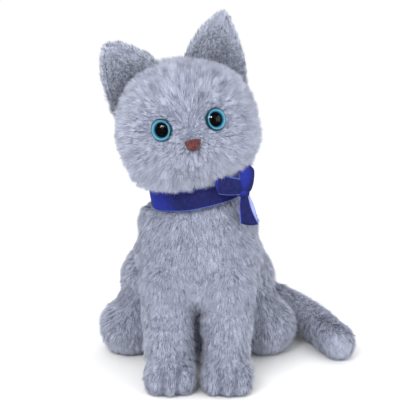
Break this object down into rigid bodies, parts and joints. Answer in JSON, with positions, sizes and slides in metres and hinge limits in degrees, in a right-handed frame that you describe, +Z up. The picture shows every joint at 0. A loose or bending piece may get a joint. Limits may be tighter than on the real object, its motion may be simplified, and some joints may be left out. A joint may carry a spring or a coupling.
{
  "type": "plush cat",
  "caption": "Sitting plush kitten in long blue-grey pile with glossy eyes, a curled tail and a velvet ribbon tied in a side bow.",
  "frame": {"origin": "centre of the round seat panel's underside, on the surface that the toy sits on", "axes": "+Z up, the cat faces -Y, +X is the cat's own left"},
  "size_m": [0.1735, 0.1541, 0.2449],
  "materials": {
    "long_plush": "long blue-grey pile",
    "short_plush": "short darker pile",
    "stuffing": "polyester fibre",
    "pellet_bag": "woven bag of pellets",
    "eye_clear": "clear moulded dome",
    "eye_colour": "turquoise ring, black centre",
    "washer": "moulded",
    "nose_thread": "satin stitch",
    "sewing_thread": "spun thread",
    "velvet": "velvet",
    "satin": "satin back of the velvet"
  },
  "bodies": {
    "torso": {"chest_panel": "long_plush", "back_panel": "long_plush", "torso_stuffing": "stuffing", "pellet_bag": "pellet_bag", "seat_panel": "short_plush", "closing_seam": "sewing_thread", "neck_gathering_thread": "sewing_thread", "ribbon_band": "velvet", "bow_knot": "velvet", "bow_side_loop": "velvet", "bow_upright_loop": "velvet"},
    "neck_seam": {"neck_ladder_stitch": "sewing_thread"},
    "neck_core": {"neck_stuffing": "stuffing"},
    "head": {"head_left_panel": "long_plush", "head_right_panel": "long_plush", "head_gusset": "long_plush", "head_stuffing": "stuffing", "nose": "nose_thread", "left_eye_dome": "eye_clear", "left_eye_base": "eye_colour", "left_eye_washer": "washer", "right_eye_dome": "eye_clear", "right_eye_base": "eye_colour", "right_eye_washer": "washer"},
    "left_ear": {"left_ear_back": "long_plush", "left_ear_lining": "short_plush"},
    "right_ear": {"right_ear_back": "long_plush", "right_ear_lining": "short_plush"},
    "front_left_leg": {"front_left_leg_cover": "long_plush", "front_left_leg_stuffing": "stuffing", "front_left_toe_stitches": "sewing_thread"},
    "front_right_leg": {"front_right_leg_cover": "long_plush", "front_right_leg_stuffing": "stuffing", "front_right_toe_stitches": "sewing_thread"},
    "hind_left_leg": {"hind_left_leg_cover": "long_plush", "hind_left_leg_stuffing": "stuffing"},
    "hind_right_leg": {"hind_right_leg_cover": "long_plush", "hind_right_leg_stuffing": "stuffing"},
    "tail_root": {"tail_root_cover": "long_plush", "tail_root_stuffing": "stuffing"},
    "tail_middle": {"tail_middle_cover": "long_plush", "tail_middle_stuffing": "stuffing"},
    "tail_tip": {"tail_tip_cover": "long_plush", "tail_tip_stuffing": "stuffing"},
    "ribbon_tails": {"ribbon_front_tail": "velvet", "ribbon_back_tail": "satin"}
  },
  "joints": [
    {"name": "head_turn", "type": "hinge", "parent": "torso", "child": "neck_seam", "pos_m": [0, -0.028, 0.126], "axis": [0, 0, 1], "range_deg": [-25, 25], "stiffness_Nm_per_rad": 0.6},
    {"name": "head_tilt", "type": "hinge", "parent": "neck_seam", "child": "neck_core", "pos_m": [0, -0.028, 0.126], "axis": [0, 1, 0], "range_deg": [-10, 6], "stiffness_Nm_per_rad": 0.9},
    {"name": "head_nod", "type": "hinge", "parent": "neck_core", "child": "head", "pos_m": [0, -0.028, 0.126], "axis": [1, 0, 0], "range_deg": [-10, 6], "stiffness_Nm_per_rad": 0.9},
    {"name": "left_ear_fold", "type": "hinge", "parent": "head", "child": "left_ear", "pos_m": [0.01386, -0.0255, 0.21057], "axis": [0.9159, 0.0434, -0.399], "range_deg": [-15, 30], "stiffness_Nm_per_rad": 0.02},
    {"name": "right_ear_fold", "type": "hinge", "parent": "head", "child": "right_ear", "pos_m": [-0.04557, -0.0287, 0.19629], "axis": [0.6351, 0.0401, 0.7714], "range_deg": [-15, 30], "stiffness_Nm_per_rad": 0.02},
    {"name": "front_left_leg_swing", "type": "hinge", "parent": "torso", "child": "front_left_leg", "pos_m": [0.0195, -0.06, 0.066], "axis": [1, 0, 0], "range_deg": [-12, 8], "stiffness_Nm_per_rad": 0.5},
    {"name": "front_right_leg_swing", "type": "hinge", "parent": "torso", "child": "front_right_leg", "pos_m": [-0.0195, -0.06, 0.066], "axis": [1, 0, 0], "range_deg": [-12, 8], "stiffness_Nm_per_rad": 0.5},
    {"name": "hind_left_leg_swing", "type": "hinge", "parent": "torso", "child": "hind_left_leg", "pos_m": [0.0262, 0.012, 0.048], "axis": [1, 0, 0], "range_deg": [-10, 8], "stiffness_Nm_per_rad": 0.5},
    {"name": "hind_right_leg_swing", "type": "hinge", "parent": "torso", "child": "hind_right_leg", "pos_m": [-0.0262, 0.012, 0.048], "axis": [1, 0, 0], "range_deg": [-10, 8], "stiffness_Nm_per_rad": 0.5},
    {"name": "tail_swing", "type": "hinge", "parent": "torso", "child": "tail_root", "pos_m": [0.014, 0.051, 0.027], "axis": [0, 0, 1], "range_deg": [-2, 55], "stiffness_Nm_per_rad": 0.12},
    {"name": "tail_bend", "type": "hinge", "parent": "tail_root", "child": "tail_middle", "pos_m": [0.045, 0.058, 0.025], "axis": [0, 0, 1], "range_deg": [-6, 30], "stiffness_Nm_per_rad": 0.08},
    {"name": "tail_tip_lift", "type": "hinge", "parent": "tail_middle", "child": "tail_tip", "pos_m": [0.08, 0.027, 0.016], "axis": [-0.908, -0.4191, 0], "range_deg": [0, 35], "stiffness_Nm_per_rad": 0.05},
    {"name": "ribbon_tails_swing", "type": "hinge", "parent": "torso", "child": "ribbon_tails", "pos_m": [0.0315, -0.057, 0.1245], "axis": [-1, 0, 0], "range_deg": [-3, 30], "stiffness_Nm_per_rad": 0.002}
  ]
}
